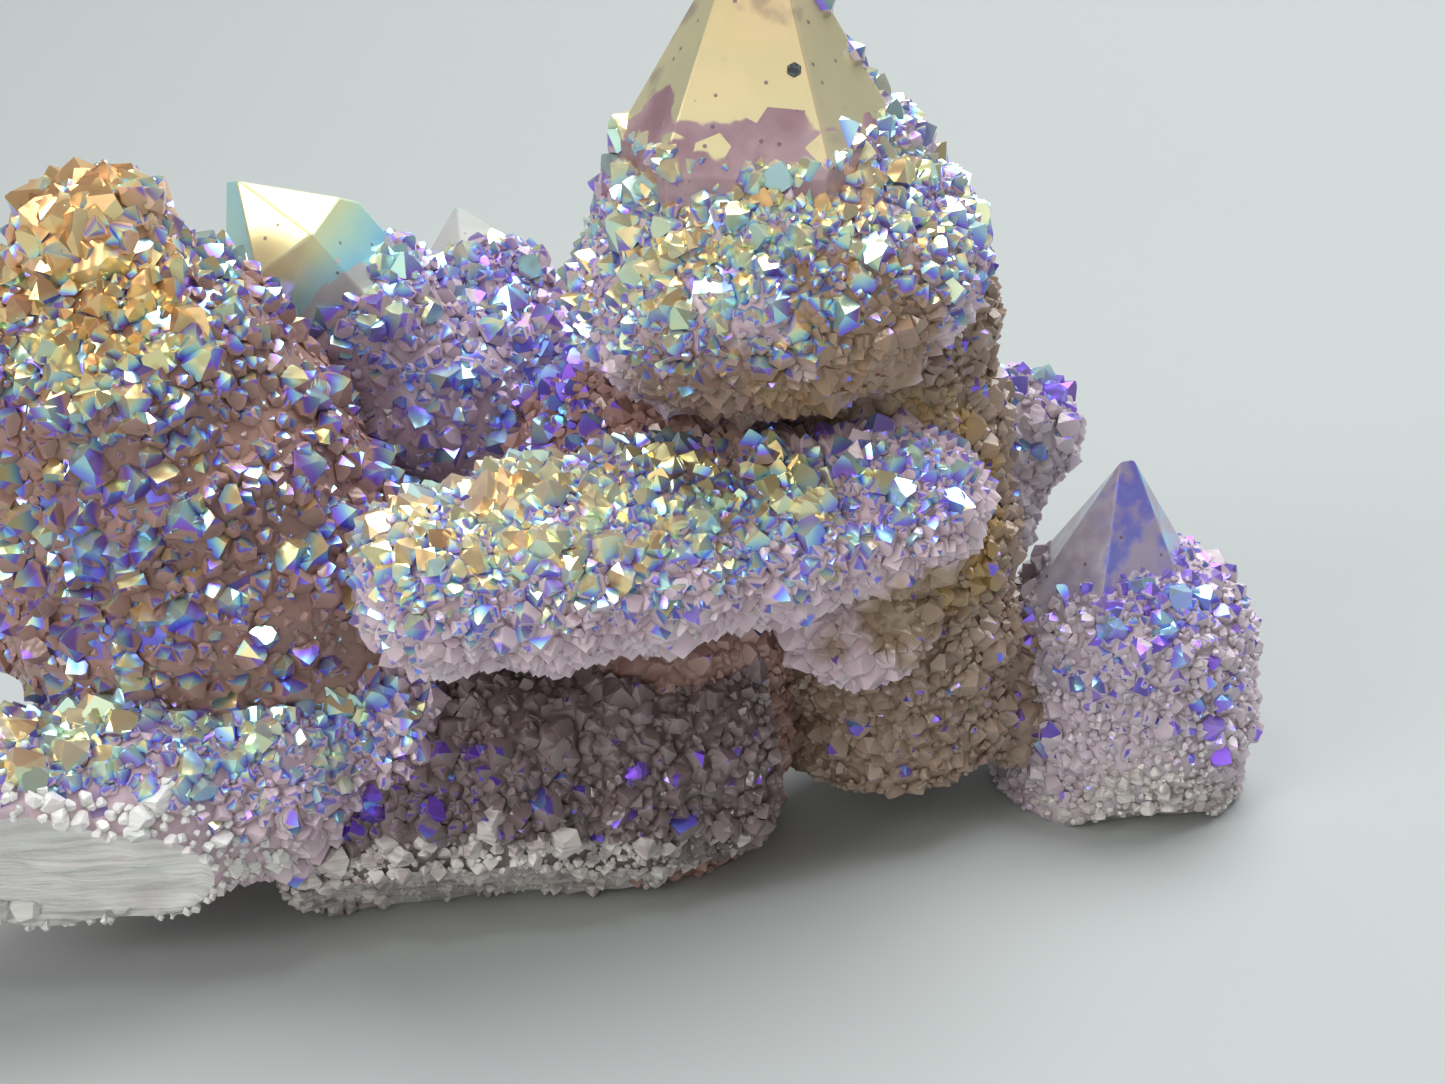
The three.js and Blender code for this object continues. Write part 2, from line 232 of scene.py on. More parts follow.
def settle(spec):  # works out a point's own frame and outline
    root = Vector(spec["root"]) + drawingShift
    along = Vector(spec["shoulder"]) - Vector(spec["root"])
    spec["length"] = along.length
    along.normalize()
    level = Vector((0, 0, 1)).cross(along).normalized()
    side = level.cross(along) * spec.get("flat", 1)
    spec["frame"] = Matrix.Translation(root) @ Matrix((side, level, along)).transposed().to_4x4()
    spec["outline"] = outlineOf(spec, spec["length"])
    for cut in spec.get("breaks", ()):
        cut["out"] = Vector(cut["facing"]).normalized()
        cut["at"] = Vector(cut["through"]) + drawingShift - cut["out"] * cut.get("deeper", 0)


for spec in points.values():
    settle(spec)


def bandAt(height):
    return bands["height"] * np.sin(2 * np.pi * height / bands["pitch"])


def cutAway(bm, at, out):  # takes off what lies beyond a plane, and closes the cut
    geometry = bm.verts[:] + bm.edges[:] + bm.faces[:]
    made = bmesh.ops.bisect_plane(bm, geom=geometry, plane_co=at, plane_no=out, clear_outer=True, dist=1e-6)
    rim = [e for e in made["geom_cut"] if isinstance(e, bmesh.types.BMEdge)]
    if not rim:
        return []
    return bmesh.ops.contextual_create(bm, geom=rim)["faces"]


def facingOf(side, spin, slope):  # the way that a six-sided point's side faces, leaning back by slope
    angle = (side + 0.5) * math.pi / 3 - spin
    return Vector((math.sin(angle) * math.cos(slope), math.cos(angle) * math.cos(slope), math.sin(slope)))


bodyShape = {"sunk": 0.3, "step": 1.0, "round": 40}  # mm under the crystals' own level
breakShape = {  # relief of a broken face, in mm and per mm
    "grid": 0.8, "depth": 1.1, "grain": (0.12, 0.9, 0.5), "even": 0.55, "coarse": 0.6, "fine": 0.3,
    "finer": 3.1, "fringe": 1.5, "ragged": (0.4, 1), "past": 0.35, "rim": 0.9, "upTo": 0.05}
breakIndex = 1  # the material slot of a broken face


def jacketBody(spec):
    bm = bmesh.new()
    line, out = spacedAlong(spec["outline"], bodyShape["step"])
    line = line + out * (bandAt(line[:, 1]) - bodyShape["sunk"])[:, None]
    line[0, 0] = line[-1, 0] = 0
    chain = [bm.verts.new((max(radius, 0), 0, height)) for radius, height in line]
    edges = [bm.edges.new(pair) for pair in zip(chain, chain[1:])]
    bmesh.ops.spin(bm, geom=chain + edges, cent=(0, 0, 0), axis=(0, 0, 1), angle=2 * math.pi,
                   steps=bodyShape["round"], use_merge=True)
    bmesh.ops.remove_doubles(bm, verts=bm.verts, dist=1e-5)
    bmesh.ops.recalc_face_normals(bm, faces=bm.faces)
    for face in bm.faces:
        face.smooth = True
    bmesh.ops.transform(bm, matrix=spec["frame"], verts=bm.verts)
    for cut in spec.get("breaks", ()):
        for face in cutAway(bm, cut["at"], cut["out"]):
            face.material_index = breakIndex
            face.smooth = True
        roughen(bm, cut["out"], breakShape["depth"] * cut.get("rugged", 1))
    if min(v.co.z for v in bm.verts) < 0:
        for face in cutAway(bm, Vector((0, 0, 0)), Vector((0, 0, -1))):
            face.material_index = breakIndex
            face.smooth = False
    return bm


def roughen(bm, out, depth):  # slices a broken face into a grid and breaks it in ridges
    along = out.cross(Vector((0, 0, 1))).normalized()
    for way in (along, out.cross(along)):
        spots = [v.co.dot(way) for f in bm.faces if f.material_index == breakIndex for v in f.verts]
        for at in np.arange(min(spots) + breakShape["grid"], max(spots), breakShape["grid"]):
            faces = [f for f in bm.faces if f.material_index == breakIndex]
            geometry = list({v for f in faces for v in f.verts} | {e for f in faces for e in f.edges}) + faces
            bmesh.ops.bisect_plane(bm, geom=geometry, plane_co=way * at, plane_no=way, dist=1e-4)
    across = out.cross(along)
    grain = breakShape["grain"]
    for v in bm.verts:
        if v.link_faces and all(f.material_index == breakIndex for f in v.link_faces):
            at = Vector((v.co.dot(along) * grain[0], v.co.dot(across) * grain[1], v.co.dot(out) * grain[2]))
            ridges = breakShape["coarse"] * noise.noise(at)
            splinters = breakShape["fine"] * noise.noise(at * breakShape["finer"])
            v.co -= out * depth * (breakShape["even"] + ridges + splinters)


def tipFaces(spec):  # the planes of a bare tip's six end faces, in the point's own frame
    tip = spec["tip"]
    spin, slope = math.radians(tip["spin"]), math.radians(tip["slope"])
    end = (spec["length"] + tip["reach"]) * math.sin(slope)
    return [(facingOf(side, spin, slope), end - cut) for side, cut in enumerate(tip["cuts"])]


tipShape = {"wear": 0.13, "grid": 1.2}  # mm


def tipBody(spec):
    tip = spec["tip"]
    start, end = tipRoot * spec["length"], spec["length"] + tip["reach"]
    bm = bmesh.new()
    bmesh.ops.create_cone(bm, cap_ends=True, segments=6, radius1=tip["radius"], radius2=tip["radius"],
                          depth=end - start)
    bmesh.ops.rotate(bm, verts=bm.verts, matrix=Matrix.Rotation(math.radians(tip["spin"]), 3, "Z"))
    bmesh.ops.translate(bm, verts=bm.verts, vec=(0, 0, (start + end) / 2))
    for out, reach in tipFaces(spec):
        cutAway(bm, out * reach, out)
    bmesh.ops.bevel(bm, geom=bm.edges[:], offset=tipShape["wear"], offset_type="OFFSET", segments=2,
                    profile=0.5, affect="EDGES", material=-1)
    for at in np.arange(start + tipShape["grid"], end, tipShape["grid"]):
        bmesh.ops.bisect_plane(bm, geom=bm.verts[:] + bm.edges[:] + bm.faces[:], plane_co=(0, 0, at),
                               plane_no=(0, 0, 1), dist=1e-4)
    bmesh.ops.transform(bm, matrix=spec["frame"], verts=bm.verts)
    return bm


def addCopy(bm, other):  # joins a copy of another bmesh
    part = bpy.data.meshes.new("part")
    other.to_mesh(part)
    bm.from_mesh(part)
    bpy.data.meshes.remove(part)


print("bodies of the points")
bodies = {name: jacketBody(spec) for name, spec in points.items()}
tips = {name: tipBody(spec) for name, spec in points.items() if "tip" in spec}
shelter = bmesh.new()
for bm in [*bodies.values(), *tips.values()]:
    addCopy(shelter, bm)
shelterTree = BVHTree.FromBMesh(shelter)
shelter.free()

# The small crystals of the jackets, in mm and as shares: their shapes, sizes, stand and rows.
druse = {
    "kinds": 14, "buried": 1.5, "over": 0.1, "minor": 0.06, "major": (0.05, 0.36), "stretch": (0.75, 1.25),
    "radius": 0.68, "spread": 0.4, "sizes": (0.45, 2.2), "white": 0.7, "up": (0.95, 0.15),
    "stand": (-0.42, 0.0), "bigStand": 0.2, "tallest": 1.4, "shaded": 0.22, "sinks": (0, 0.35, 0.7, 1.05),
    "lean": 0.3, "wobble": 0.3, "shift": 0.4, "jitter": 0.4, "row": 0.86, "climbRow": 0.6, "climbFrom": -1,
    "thinning": 1.3, "skim": 0.05, "deep": 0.7, "floor": 0.1, "hang": 0.4, "clear": 0.02, "odd": 0.93}
rhombSlope = math.radians(38.2)
crystalPeak = math.cos(math.pi / 6) / math.tan(rhombSlope)


def crystalSeed(kind, draw):  # a crystal of radius 1, pointed at both ends, three upper faces larger
    bm = bmesh.new()
    reach = crystalPeak + druse["over"]
    bmesh.ops.create_cone(bm, cap_ends=True, segments=6, radius1=0, radius2=1 + reach / druse["buried"],
                          depth=reach + druse["buried"])
    bmesh.ops.translate(bm, verts=bm.verts, vec=(0, 0, (reach - druse["buried"]) / 2))
    for side in range(6):
        out = facingOf(side, 0, rhombSlope)
        cut = draw.uniform(*druse["major"]) if side % 2 else druse["minor"] * draw.random()
        cutAway(bm, out * (crystalPeak * math.sin(rhombSlope) - cut), out)
    bmesh.ops.remove_doubles(bm, verts=bm.verts, dist=0.02)
    mesh = bpy.data.meshes.new(f"crystal{kind}")
    bm.to_mesh(mesh)
    bm.free()
    return mesh


def depthIn(spec, places):  # how far places lie under another point's surface, in mm
    inverse = np.array(spec["frame"].inverted())
    local = places @ inverse[:3, :3].T + inverse[:3, 3]
    line = spec["outline"]
    girthHere = np.interp(local[:, 2], line[:, 1], line[:, 0], left=-9, right=-9)
    depth = girthHere - np.hypot(local[:, 0], local[:, 1])
    for cut in spec.get("breaks", ()):
        depth = np.minimum(depth, (np.array(cut["at"]) - places) @ np.array(cut["out"]))
    return np.maximum(depth, depthInTip(spec, local)) if "tip" in spec else depth


def depthInTip(spec, local):
    walls = [local @ np.array(out) - reach for out, reach in tipFaces(spec)]
    for side in range(6):
        angle = (side + 0.5) * math.pi / 3 - math.radians(spec["tip"]["spin"])
        walls.append(local[:, 0] * math.sin(angle) + local[:, 1] * math.cos(angle)
                     - spec["tip"]["radius"] * math.cos(math.pi / 6))
    walls.append(tipRoot * spec["length"] - local[:, 2])
    return -np.max(walls, axis=0)


def jitter(gap, draw):  # a step off a crystal's place in its row
    return draw.uniform(-druse["jitter"], druse["jitter"]) * gap


def upTheTip(spec, side, climb, draw):  # places on a bare tip's face, fewer the higher they are
    out, reach = tipFaces(spec)[side]
    across = Vector((0, 0, 1)).cross(out).normalized()
    up = out.cross(across)
    gap, foot, radius = spec["druse"]["gap"], spec["length"], spec["tip"]["radius"]
    places = []
    for height in np.arange(druse["climbFrom"], climb, gap * druse["climbRow"]):
        for aside in np.arange(-radius, radius, gap):
            rise = height + jitter(gap, draw)
            place = out * reach + up * ((foot + rise - reach * out.z) / up.z)
            place += across * (aside + jitter(gap, draw))
            if draw.random() < druse["thinning"] - rise / climb:
                places.append(place)
    places = np.array(places)
    return places[depthInTip(spec, places) > -druse["skim"]], np.array(out)


def onTheWall(spec, side, wall, draw):  # places on a bare point's upright side
    out = facingOf(side, math.radians(spec["tip"]["spin"]), 0)
    across = Vector((0, 0, 1)).cross(out)
    gap, foot, radius = spec["druse"]["gap"], spec["length"], spec["tip"]["radius"]
    reach = radius * math.cos(math.pi / 6) + bodyShape["sunk"]
    places = []
    for aside in np.arange(-radius, radius, gap):
        for height in np.arange(-wall, 0, gap * druse["row"]):
            place = out * reach + across * (aside + jitter(gap, draw))
            places.append(place + Vector((0, 0, foot + height + jitter(gap, draw))))
    places = np.array(places)
    return places[depthInTip(spec, places) > -druse["skim"] - bodyShape["sunk"]], np.array(out)


# Where the white crystals of a broken face are looked for, in mm, and as a share of the girth.
crustShape = {"from": 3.0, "wide": 1.3, "look": 6.0, "near": 2.4, "under": 0.02}


def onBreak(spec, cut, draw):  # places of the small white crystals of a broken face
    along = cut["out"].cross(Vector((0, 0, 1))).normalized()
    across = cut["out"].cross(along)
    middle = spec["frame"] @ Vector((0, 0, spec["length"] / 2))
    middle -= cut["out"] * ((middle - cut["at"]).dot(cut["out"]) - crustShape["from"])
    gap, reach, width = cut["crust"], spec["length"], crustShape["wide"] * spec["girth"]
    places = []
    for x in np.arange(-reach, reach, gap):
        for y in np.arange(-width, width, gap):
            start = middle + along * (x + jitter(gap, draw)) + across * (y + jitter(gap, draw))
            place = shelterTree.ray_cast(start, -cut["out"], crustShape["look"])[0]
            if place and abs((place - cut["at"]).dot(cut["out"])) < crustShape["near"]:
                places.append(place)
    places = np.array(places)
    return places[depthIn(spec, places) > crustShape["under"]]


def plant(name, spec, draw):  # the places of the crystals that one jacket shows, and which way they face
    gap = spec["druse"]["gap"]
    line, out = spacedAlong(spec["outline"], gap * druse["row"])
    flat = spec.get("flat", 1)
    found, facing = [], []
    for (radius, height), (outX, outZ) in zip(line, out):
        count = max(1, round(math.pi * radius * (1 + flat) / gap))
        step = np.arange(count) + draw.random() + druse["shift"] * draw.uniform(-1, 1, count)
        angle = step / count * 2 * math.pi
        slide = druse["shift"] * gap * draw.uniform(-1, 1, count)
        here, up = radius - slide * outZ, height + slide * outX
        lift = bandAt(up)
        here = here + lift * outX
        found.append(np.stack([here * np.cos(angle), here * np.sin(angle), up + lift * outZ], axis=1))
        facing.append(np.stack([
            outX * np.cos(angle) / flat, outX * np.sin(angle), np.full(count, outZ)], axis=1))
    for side, climb in enumerate(spec.get("tip", {}).get("climb", ())):
        climbers = [upTheTip(spec, side, climb, draw)]
        if "wall" in spec["tip"]:
            climbers.append(onTheWall(spec, side, spec["tip"]["wall"], draw))
        for climbing, out in climbers:
            found.append(climbing)
            facing.append(np.tile(out, (len(climbing), 1)))
    local, normal = np.vstack(found), np.vstack(facing)
    turn = np.array(spec["frame"])
    places = local @ turn[:3, :3].T + turn[:3, 3]
    normal = normal @ np.array(spec["frame"].to_3x3().normalized()).T
    normal /= np.linalg.norm(normal, axis=1)[:, None]
    milky = np.zeros(len(places), bool)
    for cut in spec.get("breaks", ()):
        beyond = (places - np.array(cut["at"])) @ np.array(cut["out"])
        ragged = draw.uniform(*breakShape["ragged"], len(places))
        milky = milky | (beyond > -ragged * cut.get("fringe", breakShape["fringe"]))
        short = beyond < breakShape["past"]
        places, normal, milky = places[short], normal[short], milky[short]
        if "crust" in cut:
            crust = onBreak(spec, cut, draw)
            places = np.vstack([places, crust])
            normal = np.vstack([normal, np.tile(cut["out"], (len(crust), 1))])
            milky = np.append(milky, np.ones(len(crust), bool))
    keep = places[:, 2] + druse["hang"] * normal[:, 2] > druse["floor"]
    for other, its in points.items():
        if other != name:
            keep &= depthIn(its, places) < druse["deep"]
    if "tip" in spec:
        keep &= depthInTip(spec, local) < druse["deep"]
    return places[keep], normal[keep], milky[keep]


# The metal coating: where its vapour came from, what a body or a crystal gets of it, and how thick its film
# is; spots are where it lies thicker and bald where it is thin, in mm.
coating = {
    "from": Vector((-0.15, -0.45, 0.88)).normalized(), "rays": 9, "scatter": 0.5, "start": 0.7,
    "least": 0.17, "most": 0.93, "shade": 0.1, "byExposure": 0.75, "onBody": 0.8, "onCrystal": 0.6,
    "bySize": 0.3, "byChance": 0.25, "byThickness": 0.5, "oddGain": 0.55, "oddReach": 3, "bare": (1.3, 5),
    "film": (0.6, 0.4), "filmChance": 0.4,
    "spots": [
        {"at": (2, -8.3, 43.5), "reach": 6.0, "by": 0.14},
        {"at": (12.8, -9.9, 45.1), "reach": 3.5, "by": 0.12},
        {"at": (18, -8, 43), "reach": 3.0, "by": 0.12},
        {"at": (-33, -9, 45), "reach": 9.0, "by": 0.26},
        {"at": (-27.5, -13, 40), "reach": 6.0, "by": 0.25},
        {"at": (-20.5, -14, 30), "reach": 4.0, "by": 0.25},
        {"at": (-2, -14.5, 29.5), "reach": 6.0, "by": 0.15},
        {"at": (-9.4, -17.5, 28.3), "reach": 4.0, "by": 0.1},
        {"at": (14, -7, 30.5), "reach": 3.5, "by": 0.12},
        {"at": (-33, -22, 17), "reach": 7.0, "by": 0.08}],
    "bald": [
        {"at": (14.2, -11, 39), "reach": 4.6, "by": 0.45},
        {"at": (0.5, -9.0, 36.2), "reach": 2.6, "by": 0.35},
        {"at": (6.5, -12.5, 36.6), "reach": 2.8, "by": 0.35},
        {"at": (-28, -14, 33), "reach": 3.6, "by": 0.12}],
}
vapour = coating["from"]


def exposureOf(place, normal, rays):  # how open a place is to the vapour
    start = place + normal * coating["start"]
    clear = sum(shelterTree.ray_cast(start, ray)[0] is None for ray in rays) / len(rays)
    return max(0.0, min(1.0, coating["least"] + coating["most"] * normal.dot(vapour))) * clear


def insideBox(place):  # inside the cluster's own box, with a little clear
    low, high = cadBox
    clear = druse["clear"]
    return all(low[i] / mm + clear < place[i] < high[i] / mm - clear for i in range(3))


def nearTo(kind, place):  # adds up the coating's soft spots of one kind round a place
    return sum(spot["by"] * math.exp(-((place - Vector(spot["at"])).length / spot["reach"]) ** 2)
               for spot in coating[kind])


def filmAt(place, look, exposure):
    least, most = coating["film"]
    return look["film"] * (least + most * exposure) + nearTo("spots", place) * exposure


def setIn(seed, place, axis, stand, turn):  # a crystal in place, sunk more where it would leave the box
    for sink in druse["sinks"]:
        shape = seed.copy()
        shape.transform(Matrix.Translation(place + axis * (stand - sink)) @ turn)
        if all(insideBox(v.co) for v in shape.vertices):
            return shape
        bpy.data.meshes.remove(shape)
    return None


def rootShows(spec, seed, shape):  # whether a crystal's buried half comes near a broken face
    roots = [shape.vertices[v.index].co for v in seed.vertices if v.co.z < breakShape["upTo"]]
    return any((root - cut["at"]).dot(cut["out"]) > -breakShape["rim"]
               for cut in spec.get("breaks", ()) for root in roots)


def growDruse(name, spec, seeds, draw):
    look = spec["druse"]
    (least, most), (level, byRise) = druse["sizes"], druse["up"]
    planted = plant(name, spec, draw)
    rays = [(vapour + Vector(draw.uniform(-1, 1, 3)) * coating["scatter"]).normalized()
            for _ in range(coating["rays"])]
    along = spec["frame"].to_3x3().col[2].normalized()
    bm = bodies[name]
    bm.normal_update()
    marks = {"coat": [], "film": [], "grain": []}
    rises = [0.0] * len(bm.verts)
    for face in bm.faces:
        place = face.calc_center_median()
        exposure = exposureOf(place, face.normal, rays)
        coat = look["coat"] + coating["byExposure"] * exposure - coating["onBody"] + look.get("veil", 0)
        marks["coat"].append(coat - nearTo("bald", place))
        marks["film"].append(filmAt(place, look, exposure))
        marks["grain"].append(0.5)
    for place, normal, milky in zip(*planted):
        place, normal = Vector(place), Vector(normal)
        exposure = exposureOf(place, normal, rays)
        grain = draw.random()
        size = math.exp(druse["spread"] * draw.standard_normal())
        size = max(least, min(most, size)) * (level + byRise * normal.z)
        axis = normal + along * druse["lean"] * draw.random()
        axis = (axis + Vector(draw.uniform(-1, 1, 3)) * druse["wobble"]).normalized()
        radius = druse["radius"] * look["size"] * size
        coat = look["coat"] + coating["byExposure"] * exposure - coating["onCrystal"]
        coat += coating["bySize"] * (size - 1) + coating["byChance"] * (grain - 0.5) - nearTo("bald", place)
        coat += coating["oddGain"] * min(1.0, coating["oddReach"] * exposure) if grain > druse["odd"] else 0
        coat += coating["byThickness"] * nearTo("spots", place) * exposure
        bare = max(0.0, min(1.0, coating["bare"][0] - coat * coating["bare"][1]))
        radius *= druse["white"] if milky else 1 + (look.get("rim", 1) - 1) * bare
        stand = draw.uniform(*druse["stand"]) + druse["bigStand"] * (size - 1)
        if not milky:
            deeper = druse["shaded"] * max(0.0, 1 - exposure / coating["shade"])
            stand -= look.get("sunk", 0) * bare + deeper + nearTo("bald", place)
        squash = 1 if milky else 1 - look.get("low", 0) * bare - look.get("press", 0)
        stand = min(stand * radius, druse["tallest"] - crystalPeak * radius * squash)
        turn = axis.to_track_quat("Z", "Y").to_matrix()
        turn = turn @ Matrix.Rotation(draw.uniform(0, 2 * math.pi), 3, "Z")
        girths = Matrix.Diagonal((radius * draw.uniform(*druse["stretch"]), radius, radius * squash, 1))
        seed = seeds[draw.integers(len(seeds))]
        shape = setIn(seed, place, axis, stand, turn.to_4x4() @ girths)
        if shape:
            if milky or rootShows(spec, seed, shape):
                shape.polygons.foreach_set("material_index", [breakIndex] * len(shape.polygons))
            bm.from_mesh(shape)
            marks["coat"] += [coat] * len(seed.polygons)
            film = filmAt(place, look, exposure) + coating["filmChance"] * (draw.random() - 0.5)
            marks["film"] += [film] * len(seed.polygons)
            marks["grain"] += [grain] * len(seed.polygons)
            rises += [max(0.0, v.co.z / crystalPeak) for v in seed.vertices]
            bpy.data.meshes.remove(shape)
    bm.normal_update()
    marks["facing"] = [face.normal.dot(vapour) for face in bm.faces]
    marks["facet"] = draw.random(len(bm.faces))
    return makePiece(name, bm, marks, rises)


def makePiece(name, bm, marks, rises):  # turns a bmesh in mm into a piece in metres with its attributes
    bmesh.ops.scale(bm, vec=(mm, mm, mm), verts=bm.verts)
    mesh = bpy.data.meshes.new(name)
    bm.to_mesh(mesh)
    bm.free()
    for mark, values in marks.items():
        mesh.attributes.new(mark, "FLOAT", "FACE").data.foreach_set("value", values)
    mesh.attributes.new("rise", "FLOAT", "POINT").data.foreach_set("value", rises)
    piece = bpy.data.objects.new(name, mesh)
    scene.collection.objects.link(piece)
    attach(piece, "root")
    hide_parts(clusterNode)
    return piece


# What the coating does on a bare tip's faces: side: (film at the apex, film at its foot, cover).
tipFilms = {
    "tallCollar": {0: (0.57, 0.54, 1.0), 1: (0.66, 0.59, 1.1), 2: (0.57, 0.53, 1.0), 3: (0.5, 0.4, 0.7),
                   4: (0.5, 0.4, 0.6), 5: (0.5, 0.4, 0.7)},
    "brightPoint": {0: (0.58, 0.28, 1.5), 1: (0.36, 0.2, 0.5), 5: (0.52, 0.26, 0.85), 4: (0.46, 0.3, 0.4)},
    "palePoint": {0: (0.3, 0.2, 0.15), 1: (0.3, 0.2, 0.15)},
    "violetPoint": {0: (0.24, 0.0, 0.3), 1: (0.10, 0.0, 0.36), 2: (0.05, 0.0, 0.1)},
    "rearPoint": {0: (0.5, 0.3, 0.5), 5: (0.4, 0.2, 0.4)},
    "rearLeft": {0: (0.5, 0.3, 0.5), 1: (0.45, 0.3, 0.6)},
}
restFilm = (0.3, 0.2, 0.2)  # on the faces that the table leaves out
footUnder = 2  # mm that a tip's faces go on under its jacket


def dressTip(name, spec):
    tip, bm = spec["tip"], tips[name]
    films = tipFilms[name]
    bm.normal_update()
    inverse = spec["frame"].inverted()
    foot, end = spec["length"] - footUnder, spec["length"] + tip["reach"]
    marks = {"filmTop": [], "filmFoot": [], "coat": []}
    for face in bm.faces:
        local = inverse.to_3x3() @ face.normal
        turn = math.atan2(local.x, local.y) + math.radians(tip["spin"])
        top, low, cover = films.get(int(turn // (math.pi / 3)) % 6, restFilm)
        marks["filmTop"].append(top)
        marks["filmFoot"].append(low)
        marks["coat"].append(cover)
        face.smooth = False
    rises = [((inverse @ v.co).z - foot) / (end - foot) for v in bm.verts]
    return makePiece(name + "Tip", bm, marks, rises)


# Materials.
class Wire:  # a socket that can be added, multiplied and so on
    def __init__(self, maker, socket):
        self.maker, self.socket = maker, socket

    def math(self, operation, *terms):
        return self.maker.add("ShaderNodeMath", {"operation": operation}, dict(enumerate(terms)))

    def __add__(self, other):
        return self.math("ADD", self, other)

    def __sub__(self, other):
        return self.math("SUBTRACT", self, other)

    def __rsub__(self, other):
        return self.math("SUBTRACT", other, self)

    def __mul__(self, other):
        return self.math("MULTIPLY", self, other)

    __radd__, __rmul__ = __add__, __mul__

    def held(self):  # kept from 0 to 1
        return self.math("MINIMUM", self.math("MAXIMUM", self, 0.0), 1.0)

    def step(self, low, high):  # rises smoothly from 0 at low to 1 at high
        return self.maker.add("ShaderNodeMapRange", {"interpolation_type": "SMOOTHSTEP"}, {
            "Value": self, "From Min": low, "From Max": high})


class Maker:
    def __init__(self, name):
        self.material = bpy.data.materials.new(name)
        self.material.use_nodes = True
        self.tree = self.material.node_tree
        self.tree.nodes.clear()

    def add(self, kind, settings=None, inputs=None, output=0):
        node = self.tree.nodes.new(kind)
        for name, value in (settings or {}).items():
            if name == "stops":
                ramp = node.color_ramp
                while len(ramp.elements) < len(value):
                    ramp.elements.new(1.0)
                for element, (place, colour) in zip(ramp.elements, value):
                    element.position = place
                    element.color = (*colour, 1.0)
            else:
                setattr(node, name, value)
        for name, value in (inputs or {}).items():
            if isinstance(value, Wire):
                self.tree.links.new(value.socket, node.inputs[name])
            else:
                node.inputs[name].default_value = value
        return Wire(self, node.outputs[output])

    def mark(self, name):
        return self.add("ShaderNodeAttribute", {"attribute_name": name}, output="Fac")

    def place(self):
        return self.add("ShaderNodeTexCoord", output="Object")

    def clouds(self, perMetre, detail=2.0):
        return self.add("ShaderNodeTexNoise", inputs={
            "Vector": self.place(), "Scale": perMetre, "Detail": detail})

    def blend(self, share, first, second):
        paint = [value if isinstance(value, Wire) else (*value, 1.0) for value in (first, second)]
        sockets = {0: share, 6: paint[0], 7: paint[1]}
        return self.add("ShaderNodeMix", {"data_type": "RGBA"}, sockets, output=2)

    def bump(self, height, strength, depth):
        return self.add("ShaderNodeBump", inputs={"Height": height, "Strength": strength, "Distance": depth})

    def finish(self, shader, inside=None):
        output = self.tree.nodes.new("ShaderNodeOutputMaterial")
        self.tree.links.new(shader.socket, output.inputs["Surface"])
        if inside:
            self.tree.links.new(inside.socket, output.inputs["Volume"])
        return self.material


filmStops = [  # what the coating shows as it thickens
    (0.00, (0.25, 0.08, 0.88)), (0.10, (0.18, 0.17, 0.97)), (0.20, (0.20, 0.45, 0.97)),
    (0.30, (0.36, 0.77, 0.92)), (0.41, (0.60, 0.92, 0.74)), (0.52, (0.88, 0.93, 0.52)),
    (0.65, (0.97, 0.82, 0.40)), (0.78, (0.95, 0.66, 0.28)), (0.90, (0.83, 0.48, 0.17)),
    (1.00, (0.66, 0.33, 0.13))]

# Iron stains in the quartz, in mm, and the quartz of each body; the recess stain and the grey quartz are
# partly painted shade.
# The recess stain is iron brown made darker as painted shade, for the shade under the tall jacket.
recessStainAndShade = {"at": (6.5, -9.0, 34.0), "reach": 8.0, "colour": (0.26, 0.16, 0.10)}
lee = {"at": (13.5, -10.0, 38.0), "reach": 8.0, "colour": (0.36, 0.23, 0.12)}
crook = {"at": (17.5, -6.0, 20.5), "reach": 6.5, "colour": (0.38, 0.27, 0.15)}
seam = {"at": (19.0, -7.0, 25.0), "reach": 9.0, "colour": (0.50, 0.34, 0.13)}
skins = {
    "lilac": {"deep": (0.60, 0.44, 0.51), "pale": (0.90, 0.80, 0.85), "stainsAndShade": [recessStainAndShade, lee, crook]},
    "mist": {"deep": (0.50, 0.41, 0.46), "pale": (0.82, 0.75, 0.81), "stainsAndShade": []},
    "dusk": {"deep": (0.48, 0.36, 0.40), "pale": (0.77, 0.66, 0.76), "stainsAndShade": []},
    "brown": {"deep": (0.34, 0.19, 0.15), "pale": (0.62, 0.42, 0.38), "stainsAndShade": []},
    "amber": {"deep": (0.66, 0.38, 0.20), "pale": (0.90, 0.72, 0.56), "stainsAndShade": []},
    "ironBrown": {"deep": (0.29, 0.20, 0.14), "pale": (0.50, 0.40, 0.33), "stainsAndShade": [seam]},
    # The grey quartz is partly its own dark tone and partly painted shade, darkened for the underside below
    # the ledge; the low rear points use it too.
    "grey": {"deep": (0.15, 0.105, 0.105), "pale": (0.40, 0.33, 0.335), "stainsAndShade": []},
}
tipStone = {
    "purple": {"deep": (0.34, 0.19, 0.23), "pale": (0.56, 0.40, 0.44)},
    "clear": {"deep": (0.78, 0.80, 0.76), "pale": (0.94, 0.96, 0.93)},
    "misty": {"deep": (0.66, 0.58, 0.72), "pale": (0.88, 0.83, 0.92)},
}
quartz = {"IOR": 1.55, "Roughness": 0.2, "Subsurface Weight": 0.55, "Subsurface Radius": (1.0, 0.75, 0.9),
          "Subsurface Scale": 0.0003}
clear = {"IOR": 1.55, "Roughness": 0.12, "Transmission Weight": 0.45}
plating = {"Metallic": 0.78, "Roughness": 0.2, "Coat Weight": 0.1, "Coat Roughness": 0.06}
hazyTip = {
    "stone": clear, "colour": "misty", "metal": {"Metallic": 0.6, "Roughness": 0.2}, "most": 0.88,
    "fade": 0.06, "patch": 170.0, "dirt": 0.2, "dull": 0}
